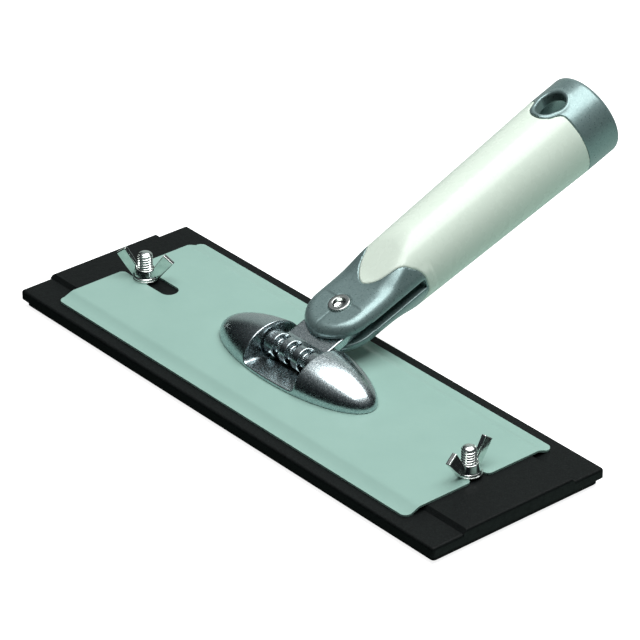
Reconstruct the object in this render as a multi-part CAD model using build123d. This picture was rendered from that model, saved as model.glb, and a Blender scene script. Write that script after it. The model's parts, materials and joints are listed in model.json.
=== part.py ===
from build123d import *
import math
import os

# Sanding block with a steel clamp plate, a die-cast swivel and a moulded handle.
# Millimetres. The origin is the centre of the sole's underside; +X runs along the block,
# +Z points up and the handle leans over towards +Y at rest.

# ---- block -------------------------------------------------------------------------------
BASE_LENGTH = 233.0
BASE_WIDTH = 79.0
PAD_INSET = 1.6
PAD_THICKNESS = 3.0
BASE_TOP = 6.7
BAND_TOP = 8.2
BAND_HALF_WIDTH = 25.6
CORNER_RADIUS = 1.3
NOSE_RADIUS = 1.1

# ---- studs, washers and wing nuts ---------------------------------------------------------
STUD_RADIUS = 2.85
STUD_X = {"left": -89.8, "right": 91.2}
STUD_Y = -0.7
STUD_TOP = {"left": 20.2, "right": 20.0}
WING_ANGLE = {"left": 27.0, "right": 99.0}
STUD_HEAD_RADIUS = 6.0
STUD_HEAD_HEIGHT = 2.0
NECK_HALF_SIDE = 2.5
NECK_TOP = 7.0
RUNNING_CLEARANCE = 0.06
WASHER_RADIUS = 4.9
WASHER_THICKNESS = 0.6
NUT_HEIGHT = 3.9
NUT_RADIUS = 3.7
NUT_FOOT_RADIUS = 4.7
WING_THICKNESS = 1.9
WING_REACH = 11.9
WING_TOP = 11.0
FACE_GAP = 0.02

# ---- clamp plate ---------------------------------------------------------------------------
SHEET = 0.8
SHEET_GAP = 0.05
PLATE_LEFT = -100.0
PLATE_RIGHT = 96.2
FIELD_HALF_WIDTH = 27.6
FLANGE_START = 31.3
PLATE_HALF_WIDTH = 34.2
BEND_RADIUS = 5.0
PLATE_CORNER = 2.5
SLOT_HALF_WIDTH = 3.6
LEFT_SLOT_END = -73.0
RIGHT_SLOT_END = 87.5
SLOT_MOUTH_RADIUS = 2.2
PLATE_TRAVEL = 12.2
OPENING_HALF_LENGTH = 11.4
OPENING_HALF_WIDTH = 3.2

# ---- swivel dome, its pin and its screws ----------------------------------------------------
DOME_X = -1.5
DOME_HALF_LENGTH = 40.8
DOME_HALF_WIDTH = 14.9
DOME_RIM = 0.6
DOME_RISE = 12.7
TROUGH_HALF_LENGTH = 14.0
TROUGH_INNER_Z = 9.6
TROUGH_OUTER_Z = 10.7
WINDOW_HALF_WIDTH = 3.3
PIN_RADIUS = 2.5
PIN_HALF_LENGTH = 21.0
PIN_SLOT_HALF_WIDTH = 2.0
PIVOT_Z = 14.3
SCREW_OFFSET = 28.0
SCREW_RADIUS = 2.0
SCREW_HEAD_RADIUS = 3.9
SCREW_HEAD_HEIGHT = 1.9
SCREW_DEPTH = 6.0

# ---- swivel link ------------------------------------------------------------------------------
BARREL_RADIUS = 4.9
BARREL_HALF_LENGTH = 13.7
GROOVE_PITCH = 7.0
GROOVE_WIDTH = 3.2
GROOVE_DEPTH = 1.5
TONGUE_HALF_WIDTH = 10.5
TONGUE_THICKNESS = 3.5
RIVET_ALONG = 23.3

# ---- handle: u across, v along the handle from the tilt pivot, w through it --------------------
REST_TILT = 20.0
FORK_RADIUS = 14.0
FORK_HALF_THICKNESS = 6.5
FORK_EDGE = 4.2
SLOT_HALF_HEIGHT = 1.9
SLOT_END = 51.8
FACET_START = 34.0
FACET_END = 57.0
FACET_END_HEIGHT = 14.5
BODY_START_RADIUS = 14.2
CAP_SEAM = 134.4
CAP_RADIUS = 16.6
HANDLE_END = 151.0
CAP_FILLET = 2.6
SKIN = 1.9
SPIGOT_END = 66.0
SLEEVE_START = 66.0
SLEEVE_END = 127.5
SOCKET_FLOOR = 70.0
SOCKET_RADIUS = 11.5
SLEEVE_RADIUS = 13.0
CAP_BORE_RADIUS = 12.0
HANG_HOLE_V = 136.2
HANG_HOLE_RADIUS = 5.3
HANG_TIP_V = 133.4
HANG_TIP_RADIUS = 4.2
COLLAR_WALL = 2.2
RIVET_RADIUS = 2.9
RIVET_RECESS_RADIUS = 2.4
RIVET_RECESS = 2.2
RIVET_HEAD_RADIUS = 4.2
RIVET_HEAD = 0.7
RIVET_WASHER_RADIUS = 5.5
RIVET_WASHER = 0.8

PLATE_TOP = BAND_TOP + SHEET_GAP + SHEET
FLANGE_TOP = BASE_TOP + SHEET_GAP + SHEET
FOOT = PLATE_TOP


def cylinder_at(x, y, bottom, top, radius):
    """An upright cylinder between two heights."""
    return Pos(x, y, bottom) * Cylinder(radius, top - bottom, align=(Align.CENTER, Align.CENTER, Align.MIN))


def box_between(low, high):
    """A box from its lowest to its highest corner."""
    size = [b - a for a, b in zip(low, high)]
    return Pos(*low) * Box(*size, align=(Align.MIN, Align.MIN, Align.MIN))


def profile_yz(points, x_from, x_to):
    """A prism along X over a closed outline of (y, z) points."""
    face = make_face(Polyline(*[(x_from, y, z) for y, z in points], close=True))
    return extrude(face, amount=x_to - x_from, dir=(1, 0, 0))


def in_handle_frame(shape):
    """Moves a shape from the handle's own frame to where the handle rests."""
    return Pos(DOME_X, 0, PIVOT_Z) * Rot(REST_TILT, 0, 0) * shape


# ---- block ---------------------------------------------------------------------------------------
def make_foam_pad():
    half_length = BASE_LENGTH / 2 - PAD_INSET
    half_width = BASE_WIDTH / 2 - PAD_INSET
    pad = box_between((-half_length, -half_width, 0), (half_length, half_width, PAD_THICKNESS))
    return fillet(pad.edges().filter_by(Axis.Z), CORNER_RADIUS)


def make_base_plate():
    half_length = BASE_LENGTH / 2
    half_width = BASE_WIDTH / 2
    slab = box_between((-half_length, -half_width, PAD_THICKNESS), (half_length, half_width, BASE_TOP))
    slab = fillet(slab.edges().filter_by(Axis.Z), CORNER_RADIUS)
    slab = fillet(slab.faces().sort_by(Axis.Z)[-1].edges(), NOSE_RADIUS)
    step = BAND_TOP - BASE_TOP
    band_outline = [(-BAND_HALF_WIDTH, BASE_TOP - 1), (BAND_HALF_WIDTH, BASE_TOP - 1),
                    (BAND_HALF_WIDTH, BASE_TOP), (BAND_HALF_WIDTH - step, BAND_TOP),
                    (step - BAND_HALF_WIDTH, BAND_TOP), (-BAND_HALF_WIDTH, BASE_TOP)]
    band = profile_yz(band_outline, -half_length, half_length)
    band_ends = band.edges().filter_by(Axis.Y).group_by(Axis.Z)[-1]
    plate = slab + fillet(band_ends, 1.0)
    for x in STUD_X.values():
        well_top = PAD_THICKNESS + STUD_HEAD_HEIGHT
        plate -= cylinder_at(x, STUD_Y, PAD_THICKNESS - 1, well_top, STUD_HEAD_RADIUS + 0.2)
        neck = NECK_HALF_SIDE
        plate -= box_between((x - neck, STUD_Y - neck, PAD_THICKNESS), (x + neck, STUD_Y + neck, NECK_TOP))
        plate -= cylinder_at(x, STUD_Y, PAD_THICKNESS, BAND_TOP + 1, STUD_RADIUS)
    channel_radius = SCREW_HEAD_RADIUS + 0.6
    channel_floor = BAND_TOP + SHEET_GAP - SCREW_HEAD_HEIGHT - 0.35
    for side in (-1, 1):
        centre = DOME_X + side * SCREW_OFFSET
        plate -= cylinder_at(centre, 0, channel_floor, BAND_TOP + 1, channel_radius)
        plate -= cylinder_at(centre - PLATE_TRAVEL - 1, 0, channel_floor, BAND_TOP + 1, channel_radius)
        plate -= box_between((centre - PLATE_TRAVEL - 1, -channel_radius, channel_floor),
                             (centre, channel_radius, BAND_TOP + 1))
    return plate


def make_stud(side):
    x = STUD_X[side]
    head = cylinder_at(x, STUD_Y, PAD_THICKNESS, PAD_THICKNESS + STUD_HEAD_HEIGHT, STUD_HEAD_RADIUS)
    neck = box_between((x - NECK_HALF_SIDE, STUD_Y - NECK_HALF_SIDE, PAD_THICKNESS + 1),
                       (x + NECK_HALF_SIDE, STUD_Y + NECK_HALF_SIDE, NECK_TOP))
    shank = cylinder_at(x, STUD_Y, PAD_THICKNESS + 1, STUD_TOP[side], STUD_RADIUS)
    shank = chamfer(shank.faces().sort_by(Axis.Z)[-1].edges(), 0.7)
    return head + neck + shank


# ---- washers and wing nuts --------------------------------------------------------------------------
def make_washer(side):
    x = STUD_X[side]
    bottom = PLATE_TOP + FACE_GAP
    ring = cylinder_at(x, STUD_Y, bottom, bottom + WASHER_THICKNESS, WASHER_RADIUS)
    return ring - cylinder_at(x, STUD_Y, bottom - 1, bottom + 3, STUD_RADIUS + RUNNING_CLEARANCE)


def make_wing_nut(side):
    bottom = PLATE_TOP + WASHER_THICKNESS + 2 * FACE_GAP
    foot = Pos(0, 0, bottom) * Cone(NUT_FOOT_RADIUS, NUT_RADIUS, NUT_HEIGHT,
                                    align=(Align.CENTER, Align.CENTER, Align.MIN))
    nut = foot
    for turn in (0, 180):
        outline = [(NUT_RADIUS - 1.0, 0.8), (NUT_RADIUS + 1.3, 0.6), (WING_REACH - 3.5, 2.9),
                   (WING_REACH, WING_TOP - 3.0), (WING_REACH - 4.0, WING_TOP), (NUT_RADIUS + 0.6, 5.0),
                   (NUT_RADIUS - 1.0, 3.6)]
        face = make_face(Polyline(*[(r, -WING_THICKNESS / 2, bottom + h) for r, h in outline], close=True))
        wing = extrude(face, amount=WING_THICKNESS, dir=(0, 1, 0))
        nut += Rot(0, 0, turn) * wing
    nut -= cylinder_at(0, 0, bottom - 1, bottom + WING_TOP + 1, STUD_RADIUS + RUNNING_CLEARANCE)
    return Pos(STUD_X[side], STUD_Y, 0) * Rot(0, 0, WING_ANGLE[side]) * nut


# ---- clamp plate ------------------------------------------------------------------------------------
def make_clamp_plate():
    top, low = PLATE_TOP, FLANGE_TOP
    field, toe, edge = FIELD_HALF_WIDTH, FLANGE_START, PLATE_HALF_WIDTH
    upper = [(-edge, low), (-toe, low), (-field, top), (field, top), (toe, low), (edge, low)]
    under = [(edge, low - SHEET), (toe - 0.2, low - SHEET), (field - 0.2, top - SHEET),
             (0.2 - field, top - SHEET), (0.2 - toe, low - SHEET), (-edge, low - SHEET)]
    sheet = profile_yz(upper + under, PLATE_LEFT, PLATE_RIGHT)
    bends = [e for e in sheet.edges().filter_by(Axis.X)
             if abs(abs(e.center().Y) - field) < 0.01 and abs(e.center().Z - top) < 0.01]
    sheet = fillet(bends, BEND_RADIUS)
    bottom, roof = low - SHEET - 1, top + 1
    for end_x, way, stop in ((PLATE_LEFT, -1, LEFT_SLOT_END), (PLATE_RIGHT, 1, RIGHT_SLOT_END)):
        corner_x = end_x - way * PLATE_CORNER
        a, b = sorted((corner_x, end_x + way))
        for side in (-1, 1):
            corner_y = side * (edge - PLATE_CORNER)
            c, d = sorted((corner_y, side * (edge + 1)))
            corner = box_between((a, c, bottom), (b, d, roof))
            corner -= cylinder_at(corner_x, corner_y, bottom - 1, roof + 1, PLATE_CORNER)
            sheet -= corner
        centre = stop + way * SLOT_HALF_WIDTH
        sheet -= cylinder_at(centre, 0, bottom, roof, SLOT_HALF_WIDTH)
        x0, x1 = sorted((centre, end_x + way))
        sheet -= box_between((x0, -SLOT_HALF_WIDTH, bottom), (x1, SLOT_HALF_WIDTH, roof))
        for side in (-1, 1):
            y_centre = side * (SLOT_HALF_WIDTH + SLOT_MOUTH_RADIUS)
            x_centre = end_x - way * SLOT_MOUTH_RADIUS
            a, b = sorted((x_centre, end_x + way))
            c, d = sorted((side * (SLOT_HALF_WIDTH - 1), y_centre))
            mouth = box_between((a, c, bottom), (b, d, roof))
            mouth -= cylinder_at(x_centre, y_centre, bottom - 1, roof + 1, SLOT_MOUTH_RADIUS)
            sheet -= mouth
    for side in (-1, 1):
        sheet -= cylinder_at(DOME_X + side * SCREW_OFFSET, 0, bottom, roof, SCREW_RADIUS + 0.2)
    sheet -= box_between((DOME_X - OPENING_HALF_LENGTH, -OPENING_HALF_WIDTH, bottom),
                         (DOME_X + OPENING_HALF_LENGTH, OPENING_HALF_WIDTH, roof))
    return sheet


# ---- swivel dome, pin and screws ---------------------------------------------------------------------
def make_swivel_dome():
    ball = Solid.make_sphere(1.0, angle1=-90, angle2=90, angle3=360)
    stretch = Matrix([[DOME_HALF_LENGTH, 0, 0, DOME_X], [0, DOME_HALF_WIDTH, 0, 0],
                      [0, 0, DOME_RISE, FOOT + DOME_RIM], [0, 0, 0, 1]])
    bowl = ball.transform_geometry(stretch)
    above = box_between((-60, -30, FOOT + DOME_RIM), (60, 30, FOOT + 30))
    rim = extrude(Pos(DOME_X, 0, FOOT) * Ellipse(DOME_HALF_LENGTH, DOME_HALF_WIDTH), DOME_RIM)
    dome = (bowl & above) + rim
    low_x, high_x = DOME_X - TROUGH_HALF_LENGTH, DOME_X + TROUGH_HALF_LENGTH
    outer = DOME_HALF_WIDTH + 1
    trough = [(-outer, TROUGH_OUTER_Z), (-WINDOW_HALF_WIDTH, TROUGH_INNER_Z), (WINDOW_HALF_WIDTH, TROUGH_INNER_Z),
              (outer, TROUGH_OUTER_Z), (outer, FOOT + 20), (-outer, FOOT + 20)]
    dome -= profile_yz(trough, low_x, high_x)
    dome -= Pos(DOME_X, 0, PIVOT_Z) * Rot(0, 90, 0) * Cylinder(BARREL_RADIUS + 0.3, 2 * TROUGH_HALF_LENGTH)
    dome -= box_between((low_x + 1.5, -WINDOW_HALF_WIDTH, FOOT - 1), (high_x - 1.5, WINDOW_HALF_WIDTH, FOOT + 5))
    dome -= Pos(DOME_X, 0, PIVOT_Z) * Rot(0, 90, 0) * Cylinder(PIN_RADIUS, 2 * PIN_HALF_LENGTH)
    dome -= box_between((DOME_X - PIN_HALF_LENGTH, -PIN_SLOT_HALF_WIDTH, FOOT - 1),
                        (DOME_X + PIN_HALF_LENGTH, PIN_SLOT_HALF_WIDTH, PIVOT_Z))
    for side in (-1, 1):
        dome -= cylinder_at(DOME_X + side * SCREW_OFFSET, 0, FOOT - 1, FOOT + SCREW_DEPTH, SCREW_RADIUS)
    return dome


def make_hinge_pin():
    pin = Cylinder(PIN_RADIUS, 2 * PIN_HALF_LENGTH)
    pin = chamfer(pin.edges(), 0.4)
    return Pos(DOME_X, 0, PIVOT_Z) * Rot(0, 90, 0) * pin


def make_dome_screws():
    screws = []
    under = PLATE_TOP - SHEET
    for side in (-1, 1):
        x = DOME_X + side * SCREW_OFFSET
        head = cylinder_at(x, 0, under - SCREW_HEAD_HEIGHT, under, SCREW_HEAD_RADIUS)
        head = fillet(head.faces().sort_by(Axis.Z)[0].edges(), 0.8)
        head -= Pos(x, 0, under - SCREW_HEAD_HEIGHT) * Box(4.0, 0.9, 1.8)
        head -= Pos(x, 0, under - SCREW_HEAD_HEIGHT) * Box(0.9, 4.0, 1.8)
        screws.append(head + cylinder_at(x, 0, under - 0.5, FOOT + SCREW_DEPTH - 0.5, SCREW_RADIUS))
    return Compound(screws)


# ---- swivel link --------------------------------------------------------------------------------------
def make_swivel_link():
    """The barrel lies across the trough and the tongue runs up into the fork's slot."""
    barrel = Rot(0, 90, 0) * Cylinder(BARREL_RADIUS, 2 * BARREL_HALF_LENGTH)
    half = TONGUE_THICKNESS / 2
    tongue = box_between((-TONGUE_HALF_WIDTH, 0, -half), (TONGUE_HALF_WIDTH, RIVET_ALONG, half))
    tongue += Pos(0, RIVET_ALONG, 0) * Cylinder(TONGUE_HALF_WIDTH, TONGUE_THICKNESS)
    link = barrel + tongue
    for step in (-1, 0, 1):
        ring = Cylinder(BARREL_RADIUS + 3, GROOVE_WIDTH) - Cylinder(BARREL_RADIUS - GROOVE_DEPTH, GROOVE_WIDTH)
        ring = Rot(0, 90, 0) * ring
        ring -= box_between((-5, 3.0, -9), (5, 12, 9))
        link -= Pos(step * GROOVE_PITCH, 0, 0) * ring
    link -= Rot(0, 90, 0) * Cylinder(PIN_RADIUS + RUNNING_CLEARANCE, 40)
    link -= Pos(0, RIVET_ALONG, 0) * Cylinder(RIVET_RADIUS + RUNNING_CLEARANCE, 20)
    return in_handle_frame(link)


# ---- handle -------------------------------------------------------------------------------------------
def facet_height(v):
    """Half height of the flat facets that lead from the fork's faces to the round body."""
    share = (v - FACET_START) / (FACET_END - FACET_START)
    return FORK_HALF_THICKNESS + share * (FACET_END_HEIGHT - FORK_HALF_THICKNESS)


def facet_wedge(inset):
    """The room between the upper and lower facets, extruded across the handle."""
    v0, v1, v2 = 0.0, FACET_START, FACET_END + 6
    a, b = FORK_HALF_THICKNESS - inset, facet_height(v2) - inset
    upper = [(v0, a), (v1, a), (v2, b), (HANDLE_END + 5, b)]
    outline = upper + [(v, -w) for v, w in reversed(upper)]
    face = make_face(Polyline(*[(-30, v, w) for v, w in outline], close=True))
    return extrude(face, amount=60, dir=(1, 0, 0))


def round_body(inset):
    """The tapered round body of the handle, revolved about its own axis."""
    start, end = FACET_START - 6, HANDLE_END
    profile = Plane.XY * make_face(Polyline((0, start), (BODY_START_RADIUS - inset, start),
                                            (BODY_START_RADIUS - inset, 50), (CAP_RADIUS - inset, CAP_SEAM),
                                            (CAP_RADIUS - inset, end), (0, end), close=True))
    return revolve(profile, Axis.Y)


def fork_plate(inset):
    """The flat fork blank: a round end about the rivet and straight sides."""
    radius = FORK_RADIUS - inset
    height = 2 * (FORK_HALF_THICKNESS - inset)
    blank = Pos(0, RIVET_ALONG, 0) * Cylinder(radius, height)
    blank += box_between((-radius, RIVET_ALONG, -height / 2), (radius, SLOT_END + 4, height / 2))
    outline = blank.faces().sort_by(Axis.Z)[-1].edges() + blank.faces().sort_by(Axis.Z)[0].edges()
    rounded = [e for e in outline if e.center().Y < SLOT_END + 3]
    return fillet(rounded, FORK_EDGE - 0.6 * inset)


def handle_form():
    """The whole outer form of the handle, fork and cap in one."""
    body = round_body(0) & facet_wedge(0)
    rims = [e for e in body.edges().filter_by(GeomType.CIRCLE) if abs(e.center().Y - HANDLE_END) < 0.01]
    body = fillet(rims, CAP_FILLET)
    return fork_plate(0) + body


def shell_prism():
    """The outline, seen through the handle, that divides the white shell from the grey fork."""
    half = [(3.4, 36.7), (6.6, 40.8), (8.4, 45.2), (10.2, 48.4), (14.0, 52.6)]
    right = Spline([(0, 35.0)] + half, tangents=[(1, 0), (1, 0.6)])
    left = Spline([(0, 35.0)] + [(-u, v) for u, v in half], tangents=[(-1, 0), (-1, 0.6)])
    out_right = Line((14.0, 52.6), (24, 58.6))
    out_left = Line((-14.0, 52.6), (-24, 58.6))
    sides = Polyline((24, 58.6), (24, CAP_SEAM), (-24, CAP_SEAM), (-24, 58.6))
    face = make_face([right, left, out_right, out_left, sides])
    return extrude(Pos(0, 0, -25) * face, 50)


def collar_outline(wall):
    """The teardrop of the hanging hole, grown by a wall."""
    circle = Pos(0, HANG_HOLE_V) * Circle(HANG_HOLE_RADIUS + wall)
    tip = Pos(0, HANG_TIP_V) * Circle(HANG_TIP_RADIUS + wall)
    return make_hull(circle.edges() + tip.edges())


def through_prism(face):
    return extrude(Pos(0, 0, -25) * face, 50)


def make_handle_parts():
    form = handle_form()
    core = (fork_plate(SKIN) + (round_body(SKIN) & facet_wedge(SKIN)))
    prism = shell_prism()
    collar = through_prism(collar_outline(COLLAR_WALL))
    hole = through_prism(collar_outline(0))
    beyond_seam = box_between((-30, CAP_SEAM, -30), (30, HANDLE_END + 5, 30))
    far_end = box_between((-30, SLEEVE_END, -30), (30, HANDLE_END + 5, 30))
    socket = Rot(-90, 0, 0) * Pos(0, 0, SOCKET_FLOOR) * Cylinder(
        SOCKET_RADIUS, SLEEVE_END - SOCKET_FLOOR, align=(Align.CENTER, Align.CENTER, Align.MIN))
    sleeve_room = Rot(-90, 0, 0) * Pos(0, 0, SLEEVE_START) * Cylinder(
        SLEEVE_RADIUS, SLEEVE_END - SLEEVE_START, align=(Align.CENTER, Align.CENTER, Align.MIN))
    cap_bore = Rot(-90, 0, 0) * Pos(0, 0, SLEEVE_END) * Cylinder(
        CAP_BORE_RADIUS, HANDLE_END + 1 - SLEEVE_END, align=(Align.CENTER, Align.CENTER, Align.MIN))

    cap_zone = (beyond_seam + collar) & far_end
    end_cap = (form & cap_zone) - cap_bore - hole

    sleeve = sleeve_room - socket

    before_spigot = box_between((-30, 0, -30), (30, SPIGOT_END, 30))
    fork_core = core & before_spigot
    grey_skin = (form & before_spigot) - prism
    slot = box_between((-30, 0, -SLOT_HALF_HEIGHT), (30, SLOT_END, SLOT_HALF_HEIGHT))
    bore = Pos(0, RIVET_ALONG, 0) * Cylinder(RIVET_RADIUS, 30)
    fork = (grey_skin + fork_core) - slot - bore

    shell = (form & prism) - fork_core - sleeve_room - cap_zone
    shell -= slot
    inner_end = box_between((-30, SLEEVE_END, -30), (30, CAP_SEAM, 30))
    shell -= (Rot(-90, 0, 0) * Pos(0, 0, SLEEVE_END) * Cylinder(
        SLEEVE_RADIUS, CAP_SEAM - SLEEVE_END, align=(Align.CENTER, Align.CENTER, Align.MIN))) & inner_end
    return fork, shell, sleeve, end_cap


def make_swivel_rivet():
    top = FORK_HALF_THICKNESS
    bottom = -FORK_HALF_THICKNESS - RIVET_WASHER
    shank = Pos(0, RIVET_ALONG, 0) * Pos(0, 0, bottom) * Cylinder(
        RIVET_RADIUS, top - bottom, align=(Align.CENTER, Align.CENTER, Align.MIN))
    head = Pos(0, RIVET_ALONG, top) * Cylinder(RIVET_HEAD_RADIUS, RIVET_HEAD,
                                               align=(Align.CENTER, Align.CENTER, Align.MIN))
    head = fillet(head.faces().sort_by(Axis.Z)[-1].edges(), 0.4)
    rolled = Pos(0, RIVET_ALONG, bottom) * Cylinder(RIVET_HEAD_RADIUS, RIVET_HEAD,
                                                    align=(Align.CENTER, Align.CENTER, Align.MAX))
    rivet = shank + head + rolled
    recess = Pos(0, RIVET_ALONG, top + RIVET_HEAD - RIVET_RECESS) * Cylinder(
        RIVET_RECESS_RADIUS, RIVET_RECESS + 1, align=(Align.CENTER, Align.CENTER, Align.MIN))
    return rivet - recess


def make_rivet_washer():
    top = -FORK_HALF_THICKNESS
    ring = Pos(0, RIVET_ALONG, top) * Cylinder(RIVET_WASHER_RADIUS, RIVET_WASHER,
                                               align=(Align.CENTER, Align.CENTER, Align.MAX))
    return ring - Pos(0, RIVET_ALONG, 0) * Cylinder(RIVET_RADIUS, 30)


def build():
    nodes = {
        "foam_pad": make_foam_pad(),
        "base_plate": make_base_plate(),
        "clamp_plate": make_clamp_plate(),
        "swivel_dome": make_swivel_dome(),
        "hinge_pin": make_hinge_pin(),
        "dome_screws": make_dome_screws(),
        "swivel_link": make_swivel_link(),
        "swivel_rivet": in_handle_frame(make_swivel_rivet()),
        "rivet_washer": in_handle_frame(make_rivet_washer()),
    }
    for side in ("left", "right"):
        nodes[side + "_stud"] = make_stud(side)
        nodes[side + "_washer"] = make_washer(side)
        nodes[side + "_wing_nut"] = make_wing_nut(side)
    names = ("handle_fork", "handle_shell", "socket_sleeve", "end_cap")
    for name, shape in zip(names, make_handle_parts()):
        nodes[name] = in_handle_frame(shape)
    return nodes


if __name__ == "__main__":
    os.makedirs("parts", exist_ok=True)
    for node, shape in build().items():
        export_step(shape, "parts/" + node + ".step")
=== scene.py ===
import json
import math

import bmesh
import bpy
import numpy as np
from mathutils import Matrix, Vector


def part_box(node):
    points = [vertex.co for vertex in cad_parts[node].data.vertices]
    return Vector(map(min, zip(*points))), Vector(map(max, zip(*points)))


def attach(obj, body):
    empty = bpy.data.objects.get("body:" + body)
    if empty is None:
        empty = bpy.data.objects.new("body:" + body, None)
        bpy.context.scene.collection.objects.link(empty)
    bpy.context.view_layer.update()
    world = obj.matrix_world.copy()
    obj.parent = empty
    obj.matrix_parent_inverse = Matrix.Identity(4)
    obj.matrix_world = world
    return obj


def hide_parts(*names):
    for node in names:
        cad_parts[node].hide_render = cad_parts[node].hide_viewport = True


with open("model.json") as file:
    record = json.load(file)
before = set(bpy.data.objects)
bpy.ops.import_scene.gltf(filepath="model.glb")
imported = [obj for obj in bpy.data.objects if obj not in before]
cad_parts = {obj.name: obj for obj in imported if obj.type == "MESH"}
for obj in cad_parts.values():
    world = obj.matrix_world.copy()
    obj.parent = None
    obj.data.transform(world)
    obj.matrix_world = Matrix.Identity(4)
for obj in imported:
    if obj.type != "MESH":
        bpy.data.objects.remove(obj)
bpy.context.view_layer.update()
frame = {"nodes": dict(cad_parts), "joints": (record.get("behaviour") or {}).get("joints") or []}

MM = 0.001

# ---- places and sizes in millimetres, from the frame ------------------------------------------


def corner_mm(node, which):
    """The lowest (0) or highest (1) corner of a CAD node, in millimetres."""
    return Vector(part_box(node)[which]) / MM


JOINTS = {joint["name"]: joint for joint in frame["joints"]}
TILT_PIVOT = Vector(JOINTS["head_tilt"]["pos_m"]) / MM
SWIVEL_PIVOT = Vector(JOINTS["handle_swivel"]["pos_m"]) / MM
SWIVEL_AXIS = Vector(JOINTS["handle_swivel"]["axis"]).normalized()
HANDLE_AXIS = (SWIVEL_PIVOT - TILT_PIVOT).normalized()
ACROSS = HANDLE_AXIS.cross(SWIVEL_AXIS)
RIVET_ALONG = (SWIVEL_PIVOT - TILT_PIVOT).length

PLATE_TOP = corner_mm("clamp_plate", 1).z
DOME_LOW, DOME_HIGH = corner_mm("swivel_dome", 0), corner_mm("swivel_dome", 1)
DOME_X = (DOME_LOW.x + DOME_HIGH.x) / 2
DOME_HALF_LENGTH = (DOME_HIGH.x - DOME_LOW.x) / 2
DOME_HALF_WIDTH = (DOME_HIGH.y - DOME_LOW.y) / 2
DOME_RIM = 0.6
DOME_RISE = 12.7
TROUGH_HALF_LENGTH = 14.0
WINDOW_HALF_WIDTH = 3.3
FLOOR_INNER, FLOOR_OUTER = 9.6, 10.7
PIN_RADIUS, PIN_HALF_LENGTH = 2.5, 21.0
RUNNING_GAP = 0.06

BARREL_RADIUS = 4.9
BARREL_HALF_LENGTH = 13.7
GROOVE_PITCH, GROOVE_HALF_WIDTH, GROOVE_DEPTH, GROOVE_END = 7.0, 1.75, 2.0, 3.4
TONGUE_HALF_WIDTH, TONGUE_HALF_THICKNESS = 10.5, 1.75

FORK_RADIUS, FORK_HALF_THICKNESS, FORK_EDGE = 14.0, 6.5, 4.2
SLOT_HALF_HEIGHT, SLOT_END = 1.9, 51.8
FACET_START, FACET_SLOPE, FACET_BLEND = 34.0, 8.0 / 23.0, 6.0
BODY_START_RADIUS, CAP_RADIUS = 14.2, 16.6
CAP_SEAM, HANDLE_END, CAP_FILLET = 134.4, 151.0, 2.6
SKIN, SPIGOT_END, SLEEVE_RADIUS, CAP_BORE = 1.9, 66.0, 13.0, 12.0
HOLE_V, HOLE_RADIUS, TIP_V, TIP_RADIUS, COLLAR_WALL = 136.2, 5.3, 133.4, 4.2, 2.2
RIVET_RADIUS, RIVET_HEAD_RADIUS, RIVET_HEAD = 2.9, 4.2, 0.7
RIVET_RECESS_RADIUS, RIVET_RECESS = 2.4, 2.2
WHITE_TONGUE = [(0.0, 35.0), (1.7, 35.6), (3.4, 36.7), (5.2, 38.6), (6.6, 40.8), (7.6, 43.0),
                (8.4, 45.2), (9.6, 47.3), (11.5, 49.8), (14.0, 52.6), (24.0, 58.6)]
SEAM_GAP = 0.02

STUD_RADIUS, THREAD_DEPTH, PITCH = 2.85, 0.5, 1.0
BOLT_HEAD_RADIUS, BOLT_HEAD_HEIGHT, NECK_HEIGHT, NECK_RADIUS = 6.0, 2.0, 4.0, 2.5
STUD_TIP_HEIGHT, STUD_TIP_DROP = 1.7, 0.88
WING_ANGLE = {"left": 27.0, "right": 99.0}
WING_LEAN = math.radians(53.1)
WING_TIP_OUT, WING_TIP_UP, WING_HALF_WIDTH, WING_HALF_THICKNESS = 9.9, 9.5, 2.45, 0.94
HUB_FOOT, HUB_TAPER, HUB_HALF_HEIGHT = 4.5, 0.27, 1.95
SOLE_CORNER = 1.3
RIVET_WASHER_RADIUS, RIVET_WASHER = 5.5, 0.8


# ---- distance fields: negative inside, in millimetres ---------------------------------------------
def both(a, b, radius):
    """Intersection of two fields with an edge rounded to a radius."""
    corner = np.hypot(np.maximum(a + radius, 0), np.maximum(b + radius, 0))
    return np.minimum(-radius, np.maximum(a, b)) + corner


def either(a, b, radius):
    """Union of two fields with a fillet of a radius between them."""
    return -both(-a, -b, radius)


def without(a, b, radius):
    """The first field with the second cut out of it, the rim rounded to a radius."""
    return both(a, -b, radius)


def teardrop(u, v, wall):
    """The hanging hole's outline, grown by a wall: the hull of a large and a small circle."""
    length = HOLE_V - TIP_V
    slope = (HOLE_RADIUS - TIP_RADIUS) / length
    along = HOLE_V - v
    side = np.abs(u)
    rise = math.sqrt(1 - slope * slope)
    k = along * rise - side * slope
    big = np.hypot(side, along) - HOLE_RADIUS
    small = np.hypot(side, along - length) - TIP_RADIUS
    flank = side * rise + along * slope - HOLE_RADIUS
    return np.where(k < 0, big, np.where(k > length * rise, small, flank)) - wall


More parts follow.
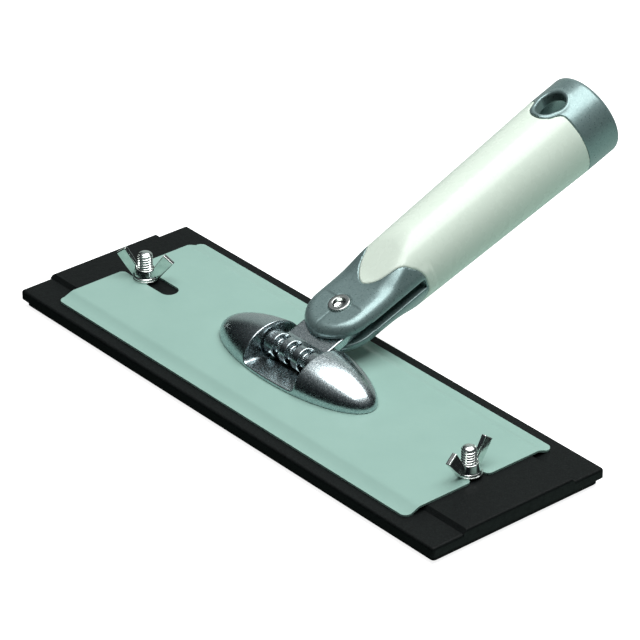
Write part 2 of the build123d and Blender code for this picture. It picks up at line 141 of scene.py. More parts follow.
class OutlineField:
    """Signed distance to the curve that divides white from grey, looked up on a fine grid."""

    def __init__(self, points, step=0.2, u_max=22.0, v_range=(26.0, 66.0)):
        curve = smooth_curve(points, 24)
        self.step, self.v_low = step, v_range[0]
        self.u = np.arange(0, u_max, step)
        self.v = np.arange(v_range[0], v_range[1], step)
        grid_u, grid_v = np.meshgrid(self.u, self.v, indexing="ij")
        best = np.full(grid_u.shape, 1e9)
        for (u0, v0), (u1, v1) in zip(curve[:-1], curve[1:]):
            du, dv = u1 - u0, v1 - v0
            share = np.clip(((grid_u - u0) * du + (grid_v - v0) * dv) / (du * du + dv * dv), 0, 1)
            best = np.minimum(best, np.hypot(grid_u - u0 - share * du, grid_v - v0 - share * dv))
        edge_v = np.interp(grid_u, curve[:, 0], curve[:, 1])
        self.table = np.where(grid_v > edge_v, -best, best)

    def __call__(self, u, v):
        a = np.clip(np.abs(u) / self.step, 0, len(self.u) - 1.001)
        b = np.clip((v - self.v_low) / self.step, 0, len(self.v) - 1.001)
        i, j = a.astype(int), b.astype(int)
        s, t = a - i, b - j
        table = self.table
        return ((1 - s) * (1 - t) * table[i, j] + s * (1 - t) * table[i + 1, j]
                + (1 - s) * t * table[i, j + 1] + s * t * table[i + 1, j + 1])


def smooth_curve(points, per_span):
    """A Catmull-Rom curve through points, mirrored at the first so that it starts level."""
    pts = np.array([(-points[1][0], points[1][1])] + list(points) + [points[-1]], float)
    out = []
    for k in range(1, len(pts) - 2):
        p0, p1, p2, p3 = pts[k - 1:k + 3]
        for t in np.linspace(0, 1, per_span, endpoint=False):
            out.append(0.5 * (2 * p1 + (p2 - p0) * t + (2 * p0 - 5 * p1 + 4 * p2 - p3) * t * t
                              + (3 * p1 - p0 - 3 * p2 + p3) * t ** 3))
    out.append(pts[-2])
    return np.array(out)


white_outline = OutlineField(WHITE_TONGUE)


def handle_form(u, v, w):
    """The whole outer form: flat fork, facets, tapered round body and rounded end."""
    share = np.clip((v - 50.0) / (CAP_SEAM - 50.0), 0, 1)
    radius = BODY_START_RADIUS + share * (CAP_RADIUS - BODY_START_RADIUS)
    body = np.hypot(u, w) - radius
    body = both(body, v - HANDLE_END, CAP_FILLET)
    ramp = v - FACET_START
    eased = (ramp + FACET_BLEND) ** 2 / (4 * FACET_BLEND)
    ramp = np.where(np.abs(ramp) < FACET_BLEND, eased, np.maximum(ramp, 0))
    facet = (np.abs(w) - FORK_HALF_THICKNESS - FACET_SLOPE * ramp) / math.hypot(1, FACET_SLOPE)
    body = both(body, facet, FORK_EDGE - (FORK_EDGE - 1.2) * np.clip((v - 36.0) / 16.0, 0, 1))
    body = np.maximum(body, FACET_START - 8 - v)
    plan = np.where(v < RIVET_ALONG, np.hypot(u, v - RIVET_ALONG) - FORK_RADIUS, np.abs(u) - FORK_RADIUS)
    fork = both(plan, np.abs(w) - FORK_HALF_THICKNESS, FORK_EDGE)
    fork = np.maximum(fork, v - SLOT_END - 4)
    return either(fork, body, 1.0)


def cap_zone(u, v):
    return either(CAP_SEAM - v, teardrop(u, v, COLLAR_WALL), 1.6)


def fork_field(u, v, w):
    form = handle_form(u, v, w)
    skin = both(form, -white_outline(u, v) + SEAM_GAP, 0.1)
    fork = np.minimum(skin, form + SKIN)
    fork = np.maximum(fork, v - SPIGOT_END)
    slot = np.maximum(np.abs(w) - SLOT_HALF_HEIGHT, v - SLOT_END)
    fork = without(fork, slot, 0.7)
    around = np.hypot(u, v - RIVET_ALONG)
    fork = without(fork, around - RIVET_RADIUS, 0.3)
    seat = np.maximum(around - 4.5, FORK_HALF_THICKNESS - 0.1 - np.abs(w))
    fork = without(fork, seat, 0.2)
    seam = np.exp(-(u / 0.4) ** 2) * np.clip((RIVET_ALONG - 4.0 - v) / 1.0, 0, 1)
    return fork + 0.16 * seam * np.clip(np.abs(w) - 3.0, 0, 1)


def shell_field(u, v, w):
    form = handle_form(u, v, w)
    shell = both(form, white_outline(u, v) + SEAM_GAP, 0.1)
    shell = both(shell, -cap_zone(u, v) + SEAM_GAP, 0.12)
    core = np.minimum(form + SKIN, np.maximum(np.hypot(u, w) - SLEEVE_RADIUS, 60.0 - v))
    shell = np.maximum(shell, -core)
    slot = np.maximum(np.abs(w) - SLOT_HALF_HEIGHT, v - SLOT_END)
    return np.maximum(shell, -slot)


def cap_field(u, v, w):
    hole = teardrop(u, v, 0)
    form = handle_form(u, v, w) - 0.35 * np.exp(-((hole - 1.1) / 0.75) ** 2)
    cap = both(form, cap_zone(u, v) + SEAM_GAP, 0.12)
    cap = np.maximum(cap, 127.5 - v)
    cap = without(cap, np.hypot(u, w) - CAP_BORE, 0.8)
    return without(cap, hole, 0.8)


def link_field(u, v, w):
    around = np.hypot(v, w)
    barrel = both(around - BARREL_RADIUS, np.abs(u) - BARREL_HALF_LENGTH, 0.6)
    plan = np.where(v < RIVET_ALONG, np.abs(u), np.hypot(u, v - RIVET_ALONG)) - TONGUE_HALF_WIDTH
    tongue = both(plan, np.abs(w) - TONGUE_HALF_THICKNESS, 0.5)
    tongue = np.maximum(tongue, -v)
    link = either(barrel, tongue, 1.3)
    for step in (-1, 0, 1):
        off = np.abs(u - step * GROOVE_PITCH)
        start = GROOVE_END - GROOVE_HALF_WIDTH
        plan = np.where(v > start, np.hypot(off, v - start), off) - GROOVE_HALF_WIDTH
        groove = both(plan, BARREL_RADIUS - GROOVE_DEPTH - around, 0.4)
        link = without(link, groove, 0.4)
    link = np.maximum(link, PIN_RADIUS + RUNNING_GAP - around)
    return np.maximum(link, RIVET_RADIUS + RUNNING_GAP - np.hypot(u, v - RIVET_ALONG))


def dome_field(x, y, z):
    along, height = x - DOME_X, np.maximum(z - PLATE_TOP - DOME_RIM, 0)
    a, b, c = DOME_HALF_LENGTH, DOME_HALF_WIDTH, DOME_RISE
    k0 = np.sqrt((along / a) ** 2 + (y / b) ** 2 + (height / c) ** 2)
    k1 = np.sqrt((along / a ** 2) ** 2 + (y / b ** 2) ** 2 + (height / c ** 2) ** 2)
    bowl = k0 * (k0 - 1) / np.maximum(k1, 1e-6)
    bowl = both(bowl, PLATE_TOP - z, 0.25)
    side = np.abs(along) - TROUGH_HALF_LENGTH
    floor = FLOOR_INNER + np.maximum(np.abs(y) - WINDOW_HALF_WIDTH, 0) * (FLOOR_OUTER - FLOOR_INNER) / 13.0
    trough = both(side, floor - z, 2.2)
    around = np.hypot(y, z - TILT_PIVOT.z)
    trough = either(trough, np.maximum(around - BARREL_RADIUS - 0.3, side), 0.6)
    window = np.maximum(np.abs(y) - WINDOW_HALF_WIDTH, side + 1.5)
    trough = np.minimum(trough, np.maximum(window, z - PLATE_TOP - 3))
    dome = without(bowl, trough, 0.45)
    return np.maximum(dome, np.where(np.abs(along) < PIN_HALF_LENGTH, PIN_RADIUS - around, -1e3))


def wing_nut_field(x, y, z):
    """A tapered hub and two slanted, square-ended wings that flare a little; z from the nut's foot."""
    around = np.hypot(x, y)
    hub = both(around - HUB_FOOT + HUB_TAPER * z, np.abs(z - HUB_HALF_HEIGHT) - HUB_HALF_HEIGHT, 0.3)
    foot = both(around - 4.66, np.abs(z - 0.4) - 0.4, 0.3)
    nut = either(hub, foot, 0.3)
    side = np.abs(x)
    c, s = math.cos(WING_LEAN), math.sin(WING_LEAN)
    reach = (side - WING_TIP_OUT) * c + (z - WING_TIP_UP) * s
    off = -(side - WING_TIP_OUT) * s + (z - WING_TIP_UP) * c
    wing = both(np.abs(off) - WING_HALF_WIDTH - 0.05 * np.minimum(reach, 0), reach, 0.3)
    wing = both(wing, np.maximum(-reach - 11.0, 3.0 - side), 0.1)
    wing = both(wing, np.abs(y) - WING_HALF_THICKNESS, 0.3)
    wing = np.maximum(wing, 0.25 - z)
    nut = either(nut, wing, 0.9)
    return without(nut, around - STUD_RADIUS - RUNNING_GAP, 0.3)


# ---- closed quad meshes from fields ---------------------------------------------------------------
CORNERS = np.array([(i, j, k) for i in (0, 1) for j in (0, 1) for k in (0, 1)])
EDGES = [(a, b) for a in range(8) for b in range(a + 1, 8) if np.abs(CORNERS[a] - CORNERS[b]).sum() == 1]


def sample_grid(field, low, counts, cell):
    """The field on a grid, worked out exactly only near the surface."""
    factor = 4
    coarse_n = [-(-c // factor) + 1 for c in counts]
    axes = [low[i] + (np.arange(coarse_n[i]) + 0.5) * cell * factor for i in range(3)]
    coarse = field(*np.meshgrid(*axes, indexing="ij"))
    near = np.abs(coarse) < cell * factor * 1.6
    values = np.where(coarse < 0, -1.0, 1.0).astype(np.float32)
    cut = tuple(slice(0, c) for c in counts)
    for axis in range(3):
        values = np.repeat(values, factor, axis)
        near = np.repeat(near, factor, axis)
    values, near = values[cut].copy(), near[cut]
    index = np.argwhere(near)
    points = np.asarray(low) + index * cell
    values[near] = field(points[:, 0], points[:, 1], points[:, 2])
    return values


def gradient(field, p, step):
    parts = []
    for axis in range(3):
        move = np.zeros(3)
        move[axis] = step
        ahead, behind = p + move, p - move
        parts.append((field(*ahead.T) - field(*behind.T)) / (2 * step))
    return np.stack(parts, 1)


def surface_of(field, low, high, cell, rounds=3):
    """Vertices and quads of a field's zero surface, evened out and pulled onto it."""
    low = np.asarray(low, float) - 2.5 * cell
    counts = [int(math.ceil((h - l) / cell)) + 4 for l, h in zip(low, high)]
    values = sample_grid(field, low, counts, cell)
    inside = values < 0
    active = np.zeros([c - 1 for c in counts], bool)
    first = inside[:-1, :-1, :-1]
    for i, j, k in CORNERS[1:]:
        other = inside[i:counts[0] - 1 + i, j:counts[1] - 1 + j, k:counts[2] - 1 + k]
        active |= other != first
    cells = np.argwhere(active)
    number = np.full(active.shape, -1, np.int64)
    number[active] = np.arange(len(cells))
    held = np.stack([values[tuple((cells + c).T)] for c in CORNERS], 1)
    total = np.zeros((len(cells), 3))
    hits = np.zeros(len(cells))
    for a, b in EDGES:
        cross = (held[:, a] < 0) != (held[:, b] < 0)
        share = held[cross, a] / (held[cross, a] - held[cross, b])
        total[cross] += CORNERS[a] + share[:, None] * (CORNERS[b] - CORNERS[a])
        hits[cross] += 1
    verts = low + (cells + total / hits[:, None]) * cell
    quads = []
    for axis in range(3):
        ahead = np.roll(np.arange(3), -axis)
        one, two = np.eye(3, dtype=int)[ahead[1]], np.eye(3, dtype=int)[ahead[2]]
        span = [slice(1, -1)] * 3
        start = [slice(1, -1)] * 3
        start[axis], span[axis] = slice(0, -1), slice(1, None)
        here, there = inside[tuple(start)], inside[tuple(span)]
        offset = np.array([1, 1, 1])
        offset[axis] = 0
        for keep, order in ((here & ~there, 1), (~here & there, -1)):
            p = np.argwhere(keep) + offset
            ring = [number[tuple((p - one - two).T)], number[tuple((p - two).T)],
                    number[tuple(p.T)], number[tuple((p - one).T)]]
            quads.append(np.stack(ring[::order], 1))
    quads = np.concatenate(quads)
    quads = quads[(quads >= 0).all(1)]
    pull(field, verts, cell, 3)
    for _ in range(rounds):
        relax(verts, quads)
        pull(field, verts, cell, 2)
    return verts, quads


def pull(field, verts, cell, times):
    for _ in range(times):
        value = field(*verts.T)
        slope = gradient(field, verts, 0.05 * cell)
        move = slope * (value / np.maximum((slope ** 2).sum(1), 0.05))[:, None]
        length = np.maximum(np.linalg.norm(move, axis=1), 1e-9)
        verts -= move * np.minimum(1, 0.5 * cell / length)[:, None]


def relax(verts, quads):
    total = np.zeros_like(verts)
    count = np.zeros(len(verts))
    for k in range(4):
        a, b = quads[:, k], quads[:, (k + 1) % 4]
        np.add.at(total, a, verts[b])
        np.add.at(count, a, 1)
    verts += 0.5 * (total / np.maximum(count, 1)[:, None] - verts)


def new_piece(name, verts, faces, place=None):
    """A smooth-shaded mesh object from points in millimetres, put in place by a matrix."""
    mesh = bpy.data.meshes.new(name)
    mesh.from_pydata(np.asarray(verts).tolist(), [], [list(f) for f in faces])
    matrix = Matrix.Scale(MM, 4) @ (place or Matrix.Identity(4))
    mesh.transform(matrix)
    mesh.polygons.foreach_set("use_smooth", [True] * len(mesh.polygons))
    mesh.update()
    piece = bpy.data.objects.new(name, mesh)
    bpy.context.scene.collection.objects.link(piece)
    return piece


def field_piece(name, field, low, high, cell, place=None):
    verts, quads = surface_of(field, low, high, cell * (1.0))
    return new_piece(name, verts, quads, place)


def lathe_piece(name, profile, place=None, turns=72, ends=None):
    """A profile of (radius, height) points turned about Z: a ring, or closed at two heights on the axis."""
    profile = np.array(profile)
    angles = np.linspace(0, 2 * math.pi, turns, endpoint=False)
    verts = [(r * math.cos(a), r * math.sin(a), h) for a in angles for r, h in profile]
    n = len(profile)
    faces = []
    for i in range(turns):
        here, there = i * n, (i + 1) % turns * n
        for j in range(n - 1 if ends else n):
            k = (j + 1) % n
            faces.append((here + j, there + j, there + k, here + k))
        if ends:
            faces.append((turns * n, there, here))
            faces.append((turns * n + 1, here + n - 1, there + n - 1))
    verts += [(0, 0, height) for height in ends or ()]
    return new_piece(name, verts, faces, place)


def arc(centre_r, centre_h, radius, start, end, steps=8):
    """Points of an arc in (radius, height), from one angle to another in degrees."""
    return [(centre_r + radius * math.cos(math.radians(a)), centre_h + radius * math.sin(math.radians(a)))
            for a in np.linspace(start, end, steps)]


def rounded_ring(inner, outer, low, high, edge):
    """The profile of a flat ring with rounded edges, anticlockwise."""
    corners = ((inner + edge, low + edge, 180), (outer - edge, low + edge, 270),
               (outer - edge, high - edge, 0), (inner + edge, high - edge, 90))
    return [point for r, h, start in corners for point in arc(r, h, edge, start, start + 90, 4)]


# The handle's own frame: across, along from the tilt pivot, and through it along the swivel axis.
HANDLE_TURN = Matrix((ACROSS, HANDLE_AXIS, SWIVEL_AXIS)).transposed()
HANDLE_FRAME = Matrix.Translation(TILT_PIVOT) @ HANDLE_TURN.to_4x4()


def finish_piece(piece, material, body, slot, *nodes):
    """Gives a new piece its material and body, and hides the CAD nodes that it stands for; the slot is not
    used.
    """
    piece.data.materials.clear()
    piece.data.materials.append(material)
    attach(piece, body)
    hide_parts(*nodes)
    return piece


# ---- materials --------------------------------------------------------------------------------------
class Finish:
    """A Principled material with procedural variation in colour, roughness and relief."""

    def __init__(self, name, colour, roughness, metallic=0.0, **sockets):
        self.material = bpy.data.materials.new(name)
        self.material.use_nodes = True
        self.nodes = self.material.node_tree.nodes
        self.links = self.material.node_tree.links
        self.shader = self.nodes["Principled BSDF"]
        self.shader.inputs["Base Color"].default_value = (*colour, 1)
        self.shader.inputs["Roughness"].default_value = roughness
        self.shader.inputs["Metallic"].default_value = metallic
        for socket, value in sockets.items():
            self.shader.inputs[socket.replace("_", " ")].default_value = value
        self.place = self.nodes.new("ShaderNodeTexCoord").outputs["Object"]
        self.relief_end = None

    def noise(self, scale, detail=4.0, stretch=None, roughness=0.55, distortion=0.0):
        """Noise with features about 1/scale metres across, stretched along an axis if asked."""
        source = self.place
        if stretch:
            mapping = self.nodes.new("ShaderNodeMapping")
            mapping.inputs["Scale"].default_value = stretch
            self.links.new(source, mapping.inputs["Vector"])
            source = mapping.outputs["Vector"]
        noise = self.nodes.new("ShaderNodeTexNoise")
        noise.inputs["Scale"].default_value = scale
        noise.inputs["Detail"].default_value = detail
        noise.inputs["Roughness"].default_value = roughness
        noise.inputs["Distortion"].default_value = distortion
        self.links.new(source, noise.inputs["Vector"])
        return noise.outputs["Fac"]

    def cells(self, scale, feature="F1"):
        voronoi = self.nodes.new("ShaderNodeTexVoronoi")
        voronoi.feature = feature
        voronoi.inputs["Scale"].default_value = scale
        self.links.new(self.place, voronoi.inputs["Vector"])
        return voronoi.outputs["Distance"]

    def map(self, value, low, high, out_low, out_high):
        ranged = self.nodes.new("ShaderNodeMapRange")
        sockets = {"From Min": low, "From Max": high, "To Min": out_low, "To Max": out_high}
        for socket, number in sockets.items():
            ranged.inputs[socket].default_value = number
        self.links.new(value, ranged.inputs["Value"])
        return ranged.outputs["Result"]

    def vary_roughness(self, value, low, high, out_low, out_high):
        self.links.new(self.map(value, low, high, out_low, out_high), self.shader.inputs["Roughness"])
        return self

    def vary_colour(self, value, low, high, colour_low, colour_high):
        mix = self.nodes.new("ShaderNodeMix")
        mix.data_type = "RGBA"
        mix.inputs["A"].default_value = (*colour_low, 1)
        mix.inputs["B"].default_value = (*colour_high, 1)
        self.links.new(self.map(value, low, high, 0, 1), mix.inputs["Factor"])
        self.links.new(mix.outputs["Result"], self.shader.inputs["Base Color"])
        return self

    def relief(self, value, height, strength=1.0):
        """Adds a layer of bump, height in metres from the value's 0 to its 1."""
        bump = self.nodes.new("ShaderNodeBump")
        bump.inputs["Distance"].default_value = height
        bump.inputs["Strength"].default_value = strength
        self.links.new(value, bump.inputs["Height"])
        if self.relief_end is not None:
            self.links.new(self.relief_end, bump.inputs["Normal"])
        self.relief_end = bump.outputs["Normal"]
        self.links.new(self.relief_end, self.shader.inputs["Normal"])
        return self


def plate_paint():
    paint = Finish("PlatePaint", (0.27, 0.425, 0.375), 0.4, Specular_IOR_Level=0.35)
    paint.vary_colour(paint.noise(60, 5), 0.3, 0.7, (0.262, 0.415, 0.366), (0.278, 0.435, 0.384))
    paint.vary_roughness(paint.noise(300, 3), 0.3, 0.7, 0.34, 0.46)
    return paint.relief(paint.noise(1400, 3), 0.00001).relief(paint.noise(260, 2), 0.00002).material


def black_moulding():
    black = Finish("BlackMoulding", (0.004, 0.005, 0.0055), 0.5, Specular_IOR_Level=0.09)
    black.vary_colour(black.noise(2200, 3), 0.35, 0.75, (0.0025, 0.003, 0.003), (0.009, 0.012, 0.012))
    black.vary_roughness(black.noise(500, 4), 0.3, 0.7, 0.4, 0.58)
    return black.relief(black.noise(2600, 2), 0.00004).relief(black.cells(1700), 0.00003).material


def foam_rubber():
    foam = Finish("FoamRubber", (0.004, 0.004, 0.004), 0.85, Specular_IOR_Level=0.15)
    foam.vary_colour(foam.cells(900), 0.0, 0.7, (0.002, 0.002, 0.002), (0.01, 0.01, 0.01))
    return foam.relief(foam.cells(1100), 0.00025).relief(foam.noise(300, 4), 0.0001).material


def die_cast():
    cast = Finish("DieCast", (0.55, 0.63, 0.65), 0.24, 1.0)
    cast.vary_colour(cast.noise(2400, 4), 0.35, 0.7, (0.33, 0.41, 0.44), (0.74, 0.8, 0.8))
    cast.vary_roughness(cast.noise(1500, 4), 0.3, 0.7, 0.16, 0.32)
    return cast.relief(cast.noise(260, 3), 0.00002).relief(cast.noise(2200, 3), 0.00002).material


def bright_zinc():
    zinc = Finish("BrightZinc", (0.76, 0.8, 0.78), 0.12, 1.0)
    zinc.vary_colour(zinc.noise(300, 4), 0.3, 0.7, (0.66, 0.7, 0.68), (0.84, 0.87, 0.84))
    zinc.vary_roughness(zinc.noise(700, 4), 0.3, 0.7, 0.08, 0.2)
    return zinc.relief(zinc.noise(900, 3), 0.00002).material


def turned_steel():
    steel = Finish("TurnedSteel", (0.5, 0.51, 0.51), 0.3, 1.0)
    steel.vary_roughness(steel.noise(800, 4), 0.3, 0.7, 0.22, 0.4)
    return steel.relief(steel.noise(2000, 3), 0.00002).material


def grey_moulding():
    grey = Finish("GreyMoulding", (0.2, 0.28, 0.275), 0.3, 0.5, Coat_Weight=0.25, Coat_Roughness=0.25)
    grey.vary_colour(grey.noise(1600, 4), 0.3, 0.7, (0.165, 0.245, 0.245), (0.235, 0.33, 0.325))
    grey.vary_roughness(grey.noise(900, 4), 0.3, 0.7, 0.25, 0.37)
    return grey.relief(grey.noise(2200, 3), 0.000015).relief(grey.noise(160, 3), 0.00002).material


def white_moulding():
    white = Finish("WhiteMoulding", (0.7, 0.8, 0.7), 0.26, Coat_Weight=0.15, Coat_Roughness=0.15)
    white.vary_colour(white.noise(30, 3), 0.3, 0.7, (0.695, 0.795, 0.695), (0.71, 0.81, 0.71))
    white.vary_roughness(white.noise(250, 4), 0.3, 0.7, 0.22, 0.32)
    return white.relief(white.noise(1800, 2), 0.00001).material


def dark_moulding():
    dark = Finish("DarkMoulding", (0.06, 0.075, 0.075), 0.5)
    dark.vary_roughness(dark.noise(500, 4), 0.3, 0.7, 0.4, 0.6)
    return dark.relief(dark.noise(1500, 3), 0.00003).material


PAINT, BLACK, FOAM, CAST, ZINC = plate_paint(), black_moulding(), foam_rubber(), die_cast(), bright_zinc()
STEEL, GREY, WHITE, DARK = turned_steel(), grey_moulding(), white_moulding(), dark_moulding()


# ---- the block -----------------------------------------------------------------------------------------
def rounded_rectangle(half_x, half_y, radius, steps=6):
    points = []
    for turn, (sx, sy) in enumerate(((1, 1), (-1, 1), (-1, -1), (1, -1))):
        cx, cy = sx * (half_x - radius), sy * (half_y - radius)
        for a in np.linspace(turn * 90, turn * 90 + 90, steps):
            points.append((cx + radius * math.cos(math.radians(a)), cy + radius * math.sin(math.radians(a))))
    return points


def make_sole():
    """The foam sole: a slab whose walls bulge a little between glued top and open bottom."""
    low, high = corner_mm("foam_pad", 0), corner_mm("foam_pad", 1)
    layers = [(0.0, 0.9), (0.15, 0.35), (0.5, 0.05), (1.2, 0.0), (2.0, 0.08), (2.7, 0.2), (high.z, 0.25)]
    verts, faces = [], []
    for height, inset in layers:
        verts += [(x, y, height) for x, y in rounded_rectangle(high.x - inset, high.y - inset, SOLE_CORNER)]
    n = len(verts) // len(layers)
    for level in range(len(layers) - 1):
        for i in range(n):
            j = (i + 1) % n
            faces.append((level * n + i, level * n + j, (level + 1) * n + j, (level + 1) * n + i))
    faces.append(tuple(reversed(range(n))))
    faces.append(tuple(range((len(layers) - 1) * n, len(layers) * n)))
    sole = finish_piece(new_piece("sole_pad", verts, faces), FOAM, "base", "black_rubber", "foam_pad")


def soften_node(node, material, width, angle=25.0):
    """A CAD node kept as it is, with its edges broken by a bevel and a detailed material."""
    piece = frame["nodes"][node]
    piece.data.materials.clear()
    piece.data.materials.append(material)
    piece.data.polygons.foreach_set("use_smooth", [True] * len(piece.data.polygons))
    if width:
        weld = piece.modifiers.new("Weld", "WELD")
        weld.merge_threshold = 1e-6
        bevel = piece.modifiers.new("Bevel", "BEVEL")
        bevel.width = width * MM
        bevel.segments = 3
        bevel.limit_method = "ANGLE"
        bevel.angle_limit = math.radians(angle)
        bevel.use_clamp_overlap = True
        piece.modifiers.new("Normals", "WEIGHTED_NORMAL").keep_sharp = True


def make_stud(side):
    """A carriage bolt: flat head and neck under the plate, then a real helical thread to a domed tip."""
    low, high = corner_mm(side + "_stud", 0), corner_mm(side + "_stud", 1)
    x, y = (low.x + high.x) / 2, (low.y + high.y) / 2
    head_top, neck_top = low.z + BOLT_HEAD_HEIGHT, low.z + NECK_HEIGHT
    turns, steps = 64, 14
    rows = [(low.z, BOLT_HEAD_RADIUS - 0.6, 0), (low.z + 0.3, BOLT_HEAD_RADIUS, 0),
            (head_top - 0.3, BOLT_HEAD_RADIUS, 0), (head_top, BOLT_HEAD_RADIUS - 0.3, 0),
            (head_top + 0.05, NECK_RADIUS, 0)]
    heights = np.arange(neck_top, high.z, PITCH / steps)
    rows += [(h, STUD_RADIUS, 1) for h in heights] + [(high.z, STUD_RADIUS, 1)]
    verts = []
    for height, radius, threaded in rows:
        lift = max(0.0, (height - (high.z - STUD_TIP_HEIGHT)) / STUD_TIP_HEIGHT)
        tip = radius * math.sqrt(max(0.0, 1 - STUD_TIP_DROP * lift * lift))
        for k in range(turns):
            angle = 2 * math.pi * k / turns
            r = radius
            if threaded:
                phase = (height / PITCH - k / turns) % 1.0
                groove = 1 - abs(2 * phase - 1)
                depth = THREAD_DEPTH * min(1.0, max(0.0, (groove - 0.12) / 0.76))
                depth *= min(1.0, (height - neck_top) / PITCH)
                r = min(radius - depth, tip)
            verts.append((x + r * math.cos(angle), y + r * math.sin(angle), height))
    faces = []
    for row in range(len(rows) - 1):
        for k in range(turns):
            j = (k + 1) % turns
            here, above = row * turns, (row + 1) * turns
            faces.append((here + k, here + j, above + j, above + k))
    faces.append(tuple(reversed(range(turns))))
    faces.append(tuple(range((len(rows) - 1) * turns, len(rows) * turns)))
    piece = new_piece(side + "_threaded_stud", verts, faces)
    finish_piece(piece, ZINC, "base", "zinc_plate", side + "_stud")


def make_fastening(side):
    """The washer and wing nut of one stud."""
    low, high = corner_mm(side + "_washer", 0), corner_mm(side + "_washer", 1)
    x, y, outer = (low.x + high.x) / 2, (low.y + high.y) / 2, (high.x - low.x) / 2
    place = Matrix.Translation((x, y, 0))
    profile = rounded_ring(STUD_RADIUS + RUNNING_GAP, outer, low.z, high.z, 0.15)
    washer = lathe_piece(side + "_flat_washer", profile, place)
    finish_piece(washer, ZINC, side + "_washer", "zinc_plate", side + "_washer")
    foot = corner_mm(side + "_wing_nut", 0).z
    turn = Matrix.Rotation(math.radians(WING_ANGLE[side]), 4, "Z")
    place = Matrix.Translation((x, y, foot)) @ turn
    nut = field_piece(side + "_winged_nut", wing_nut_field, (-12.2, -5.2, 0), (12.2, 5.2, 12), 0.2, place)
    finish_piece(nut, ZINC, side + "_nut", "zinc_plate", side + "_wing_nut")


# ---- the swivel and the handle -----------------------------------------------------------------------
def make_swivel():
    low, high = DOME_LOW, (DOME_HIGH.x, DOME_HIGH.y, PLATE_TOP + DOME_RIM + DOME_RISE)
    dome = field_piece("dome_casting", dome_field, low, high, 0.36)
    finish_piece(dome, CAST, "clamp", "die_cast", "swivel_dome")
    link = field_piece("link_casting", link_field, (-14, -5, -5), (14, 34, 5), 0.27, HANDLE_FRAME)
    finish_piece(link, CAST, "link", "die_cast", "swivel_link")


def make_handle():
    fork = field_piece("fork_moulding", fork_field, (-15, 9, -15), (15, 67, 15), 0.42, HANDLE_FRAME)
    finish_piece(fork, GREY, "handle", "grey_plastic", "handle_fork")
    shell = field_piece("grip_shell", shell_field, (-17, 33, -17), (17, 137, 17), 0.55, HANDLE_FRAME)
    finish_piece(shell, WHITE, "handle", "white_plastic", "handle_shell")
    cap = field_piece("cap_moulding", cap_field, (-17.5, 127, -17.5), (17.5, 152, 17.5), 0.4, HANDLE_FRAME)
    finish_piece(cap, GREY, "handle", "grey_plastic", "end_cap")


def make_rivet():
    """The swivel rivet: a flat rolled ring round a dished recess, and a washer under its far head."""
    top, bottom = FORK_HALF_THICKNESS, -FORK_HALF_THICKNESS - RIVET_WASHER
    outer, inner, dish = RIVET_HEAD_RADIUS, RIVET_RECESS_RADIUS, top + RIVET_HEAD - RIVET_RECESS
    profile = arc(outer - 0.3, bottom - RIVET_HEAD + 0.3, 0.3, 270, 360, 5)
    profile += [(outer, bottom), (RIVET_RADIUS, bottom), (RIVET_RADIUS, top), (outer, top)]
    profile += arc(outer - 0.4, top + RIVET_HEAD - 0.4, 0.4, 0, 90, 7)
    profile += arc(inner + 0.25, top + RIVET_HEAD - 0.25, 0.25, 90, 180, 5)
    profile += [(inner * math.cos(a), dish + 1.0 * (1 - math.sin(a))) for a in np.linspace(0.15, 1.4, 10)]
    place = HANDLE_FRAME @ Matrix.Translation((0, RIVET_ALONG, 0))
    rivet = lathe_piece("dished_rivet", profile, place, ends=(bottom - RIVET_HEAD, dish))
    finish_piece(rivet, ZINC, "handle", "zinc_plate", "swivel_rivet")
    ring = rounded_ring(RIVET_RADIUS, RIVET_WASHER_RADIUS, bottom, -FORK_HALF_THICKNESS, 0.2)
    washer = lathe_piece("rivet_back_washer", ring, place)
    finish_piece(washer, ZINC, "handle", "zinc_plate", "rivet_washer")


make_sole()
soften_node("base_plate", BLACK, 0.3)
soften_node("clamp_plate", PAINT, 0.22)
soften_node("hinge_pin", STEEL, 0)
soften_node("dome_screws", STEEL, 0)
soften_node("socket_sleeve", DARK, 0.2)
for side in ("left", "right"):
    make_stud(side)
    make_fastening(side)
make_swivel()
make_handle()
make_rivet()


# ---- camera, floor and light -----------------------------------------------------------------------
def make_camera():
    """A long lens that looks down at the block from past its right end and near side."""
    azimuth, elevation, roll = math.radians(50.17), math.radians(29.63), math.radians(-0.31)
    level_back = Vector((math.sin(azimuth), -math.cos(azimuth), 0)) * math.cos(elevation)
    back = level_back + Vector((0, 0, math.sin(elevation)))
    camera = bpy.data.objects.new("Camera", bpy.data.cameras.new("Camera"))
    camera.data.lens, camera.data.sensor_width = 205.8, 36.0
    camera.data.clip_start, camera.data.clip_end = 0.1, 20.0
    target = Vector((-4.7, 13.3, 22.5)) * MM
    camera.location = target + back * 1.318
    camera.rotation_mode = "QUATERNION"
    level = (-back).to_track_quat("-Z", "Y")
    camera.rotation_quaternion = Matrix.Rotation(roll, 3, back).to_quaternion() @ level
    bpy.context.scene.collection.objects.link(camera)
    bpy.context.scene.camera = camera


def make_floor():
    """A pale floor for the camera only; the lower half of the world lights the object from below."""
    mesh = bpy.data.meshes.new("Floor")
    build = bmesh.new()
    bmesh.ops.create_grid(build, x_segments=8, y_segments=8, size=4.0)
    build.to_mesh(mesh)
    build.free()
    floor = bpy.data.objects.new("Floor", mesh)
    floor.location.z = -0.0002
    bpy.context.scene.collection.objects.link(floor)
    pale = Finish("PaleFloor", (0.6, 0.6, 0.6), 0.8, Emission_Color=(1, 1, 1, 1), Emission_Strength=0.88)
    mesh.materials.append(pale.material)
    floor.visible_glossy = floor.visible_diffuse = floor.visible_shadow = False


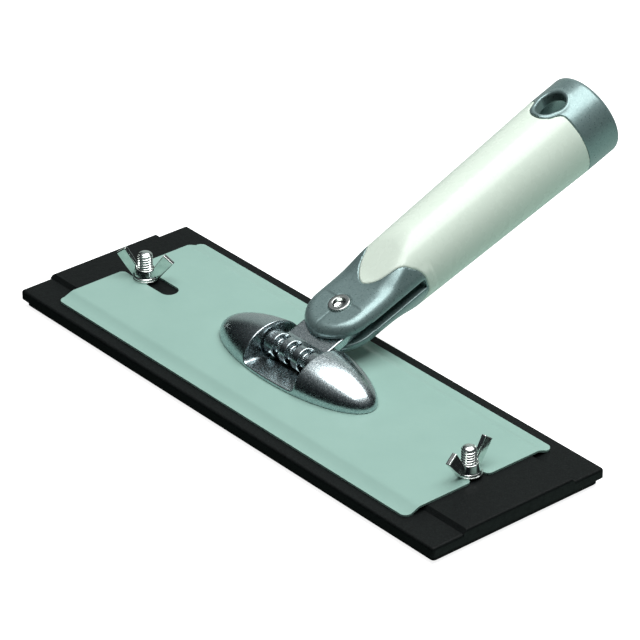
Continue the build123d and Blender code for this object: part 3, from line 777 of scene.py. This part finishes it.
def add_light(name, place, target, size, power, tint=(1, 1, 1)):
    data = bpy.data.lights.new(name, "AREA")
    data.shape = "RECTANGLE"
    data.size, data.size_y = size
    data.energy = power
    data.color = tint
    light = bpy.data.objects.new(name, data)
    light.location = place
    light.rotation_mode = "QUATERNION"
    light.rotation_quaternion = (Vector(target) - Vector(place)).to_track_quat("-Z", "Y")
    bpy.context.scene.collection.objects.link(light)


def make_world():
    """A dark studio: a ceiling lighter upwards, a grey wall behind on the left, a pale ground below."""
    world = bpy.data.worlds.new("Studio")
    bpy.context.scene.world = world
    world.use_nodes = True
    nodes, links = world.node_tree.nodes, world.node_tree.links
    place = nodes.new("ShaderNodeTexCoord")

    def facing(direction, stops):
        dot = nodes.new("ShaderNodeVectorMath")
        dot.operation = "DOT_PRODUCT"
        dot.inputs[1].default_value = Vector(direction).normalized()
        ramp = nodes.new("ShaderNodeValToRGB")
        links.new(place.outputs["Generated"], dot.inputs[0])
        links.new(dot.outputs["Value"], ramp.inputs["Fac"])
        elements = ramp.color_ramp.elements
        for element, (position, colour) in ((elements[0], stops[0]), (elements[1], stops[-1])):
            element.position, element.color = position, (*colour, 1)
        for position, colour in stops[1:-1]:
            elements.new(position).color = (*colour, 1)
        return ramp.outputs["Color"]

    ceiling = facing((0, 0.1, 1), (
        (0.05, (0.006, 0.008, 0.009)), (0.45, (0.03, 0.035, 0.037)),
        (0.7, (0.13, 0.14, 0.145)), (0.88, (0.5, 0.52, 0.52))))
    wall = facing((-0.62, 0.78, 0.1), (
        (0.76, (0, 0, 0)), (0.84, (0.3, 0.35, 0.33)), (1.0, (0.4, 0.45, 0.43))))
    below = facing((0.35, 0.1, -1), (
        (0.25, (0, 0, 0)), (0.65, (0.5, 0.68, 0.62)), (1.0, (0.75, 0.95, 0.86))))
    glow = ceiling
    for part in (wall, below):
        total = nodes.new("ShaderNodeMix")
        total.data_type, total.blend_type = "RGBA", "ADD"
        total.inputs["Factor"].default_value = 1
        links.new(glow, total.inputs["A"])
        links.new(part, total.inputs["B"])
        glow = total.outputs["Result"]
    links.new(glow, nodes["Background"].inputs["Color"])
    nodes["Background"].inputs["Strength"].default_value = 1.0


def make_lights():
    make_world()
    add_light("Overhead", (0.095, 0.21, 1.15), (0.095, 0.2101, 0), (1.0, 1.45), 20.0)


make_camera()
make_floor()
make_lights()
bpy.context.scene.view_settings.view_transform = "Standard"
